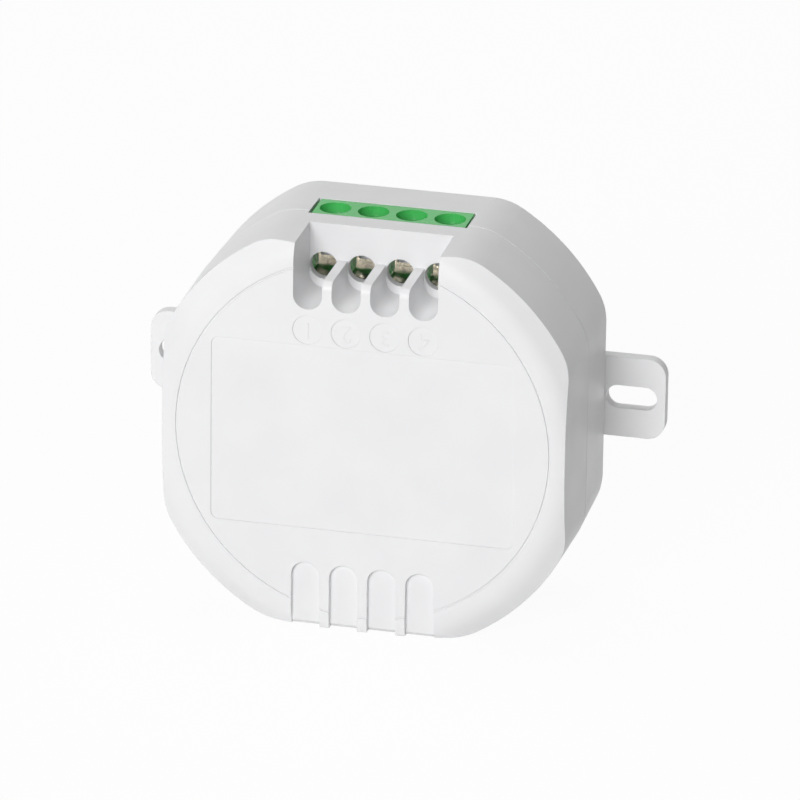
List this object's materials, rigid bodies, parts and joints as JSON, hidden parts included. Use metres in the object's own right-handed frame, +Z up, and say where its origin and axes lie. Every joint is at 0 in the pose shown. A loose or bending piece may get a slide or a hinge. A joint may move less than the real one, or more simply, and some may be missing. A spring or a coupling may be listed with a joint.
{
  "type": "flush-mounted radio relay module",
  "caption": "Radio-controlled relay module for a round wall box: moulded shells with slotted ears, screw terminals under a wire notch, a pairing button and a relay inside.",
  "frame": {"origin": "middle of the module's bounding box in X and Y, at the height of its lowest flat side", "axes": "+X along the two ears, +Y from the label face to the back, +Z up towards the terminals"},
  "size_m": [0.0696, 0.0254, 0.0533],
  "materials": {
    "shell_white": "smooth moulded, satin gloss",
    "button_grey": "moulded",
    "light_guide_clear": "clear",
    "terminal_green": "moulded",
    "tinned_brass": "tin plated",
    "zinc_steel": "zinc plated",
    "board_laminate": "solder resist",
    "relay_cover_black": "moulded",
    "relay_base_black": "moulded",
    "soft_iron": "nickel plated",
    "bobbin_plastic": "moulded",
    "copper_wire": "enamelled",
    "spring_bronze": "rolled",
    "contact_silver": "polished",
    "film_case": "moulded",
    "can_aluminium": "bare",
    "varistor_coat": "dipped epoxy",
    "fuse_body": "ceramic",
    "chip_black": "moulded",
    "ferrite": "bare",
    "crystal_can": "bright",
    "chip_ceramic": "sintered",
    "lamp_lens": "clear",
    "switch_plastic": "moulded"
  },
  "bodies": {
    "module": {"front_shell": "shell_white", "rear_shell": "shell_white", "terminal_housing": "terminal_green", "circuit_board": "board_laminate", "board_screws": "zinc_steel", "film_capacitor": "film_case", "electrolytic_capacitor": "can_aluminium", "varistor": "varistor_coat", "fuse": "fuse_body", "bridge_rectifier": "chip_black", "choke_core": "ferrite", "choke_winding": "copper_wire", "relay_cover": "relay_cover_black", "relay_base": "relay_base_black", "relay_yoke": "soft_iron", "relay_core": "soft_iron", "relay_bobbin": "bobbin_plastic", "relay_winding": "copper_wire", "relay_coil_pins": "tinned_brass", "relay_fixed_contact": "contact_silver", "radio_board": "board_laminate", "radio_pin_strip": "relay_base_black", "radio_chip": "chip_black", "crystal": "crystal_can", "antenna_coil": "copper_wire", "controller_chip": "chip_black", "voltage_regulator": "chip_black", "chip_resistors": "chip_black", "chip_capacitors": "chip_ceramic", "status_lamp": "lamp_lens", "light_guide": "light_guide_clear", "switch_body": "zinc_steel", "terminal_clamp_1": "tinned_brass", "terminal_clamp_2": "tinned_brass", "terminal_clamp_3": "tinned_brass", "terminal_clamp_4": "tinned_brass"},
    "button": {"pairing_button": "button_grey"},
    "plunger": {"switch_plunger": "switch_plastic"},
    "armature": {"relay_armature": "soft_iron", "relay_leaf_spring": "spring_bronze", "relay_moving_contact": "contact_silver"},
    "plate_1": {"terminal_plate_1": "zinc_steel"},
    "screw_1": {"terminal_screw_1": "zinc_steel"},
    "plate_2": {"terminal_plate_2": "zinc_steel"},
    "screw_2": {"terminal_screw_2": "zinc_steel"},
    "plate_3": {"terminal_plate_3": "zinc_steel"},
    "screw_3": {"terminal_screw_3": "zinc_steel"},
    "plate_4": {"terminal_plate_4": "zinc_steel"},
    "screw_4": {"terminal_screw_4": "zinc_steel"}
  },
  "joints": [
    {"name": "plate_1_travel", "type": "slide", "parent": "module", "child": "plate_1", "axis": [0, 0, -1], "range_m": [0, 0.0014]},
    {"name": "screw_1_turn", "type": "hinge", "parent": "plate_1", "child": "screw_1", "pos_m": [-0.00737, 0.00155, 0.0474], "axis": [0, 0, -1], "range_deg": [0, 1008.1]},
    {"name": "plate_2_travel", "type": "slide", "parent": "module", "child": "plate_2", "axis": [0, 0, -1], "range_m": [0, 0.0014]},
    {"name": "screw_2_turn", "type": "hinge", "parent": "plate_2", "child": "screw_2", "pos_m": [-0.00229, 0.00155, 0.0474], "axis": [0, 0, -1], "range_deg": [0, 1008.1]},
    {"name": "plate_3_travel", "type": "slide", "parent": "module", "child": "plate_3", "axis": [0, 0, -1], "range_m": [0, 0.0014]},
    {"name": "screw_3_turn", "type": "hinge", "parent": "plate_3", "child": "screw_3", "pos_m": [0.00279, 0.00155, 0.0474], "axis": [0, 0, -1], "range_deg": [0, 1008.1]},
    {"name": "plate_4_travel", "type": "slide", "parent": "module", "child": "plate_4", "axis": [0, 0, -1], "range_m": [0, 0.0014]},
    {"name": "screw_4_turn", "type": "hinge", "parent": "plate_4", "child": "screw_4", "pos_m": [0.00787, 0.00155, 0.0474], "axis": [0, 0, -1], "range_deg": [0, 1008.1]},
    {"name": "button_press", "type": "slide", "parent": "module", "child": "button", "axis": [0, -1, 0], "range_m": [0, 0.0003], "stiffness_N_per_m": 2000},
    {"name": "plunger_press", "type": "slide", "parent": "module", "child": "plunger", "axis": [0, -1, 0], "range_m": [0, 0.0003]},
    {"name": "armature_swing", "type": "hinge", "parent": "module", "child": "armature", "pos_m": [0.0065, -0.00225, 0.02562], "axis": [0, 0, 1], "range_deg": [0, 3.5], "stiffness_Nm_per_rad": 0.02}
  ],
  "couplings": [
    {"joint": "screw_1_turn", "follows": "plate_1_travel", "rad_per_m": 12566},
    {"joint": "screw_2_turn", "follows": "plate_2_travel", "rad_per_m": 12566},
    {"joint": "screw_3_turn", "follows": "plate_3_travel", "rad_per_m": 12566},
    {"joint": "screw_4_turn", "follows": "plate_4_travel", "rad_per_m": 12566},
    {"joint": "plunger_press", "follows": "button_press", "ratio": 1}
  ]
}
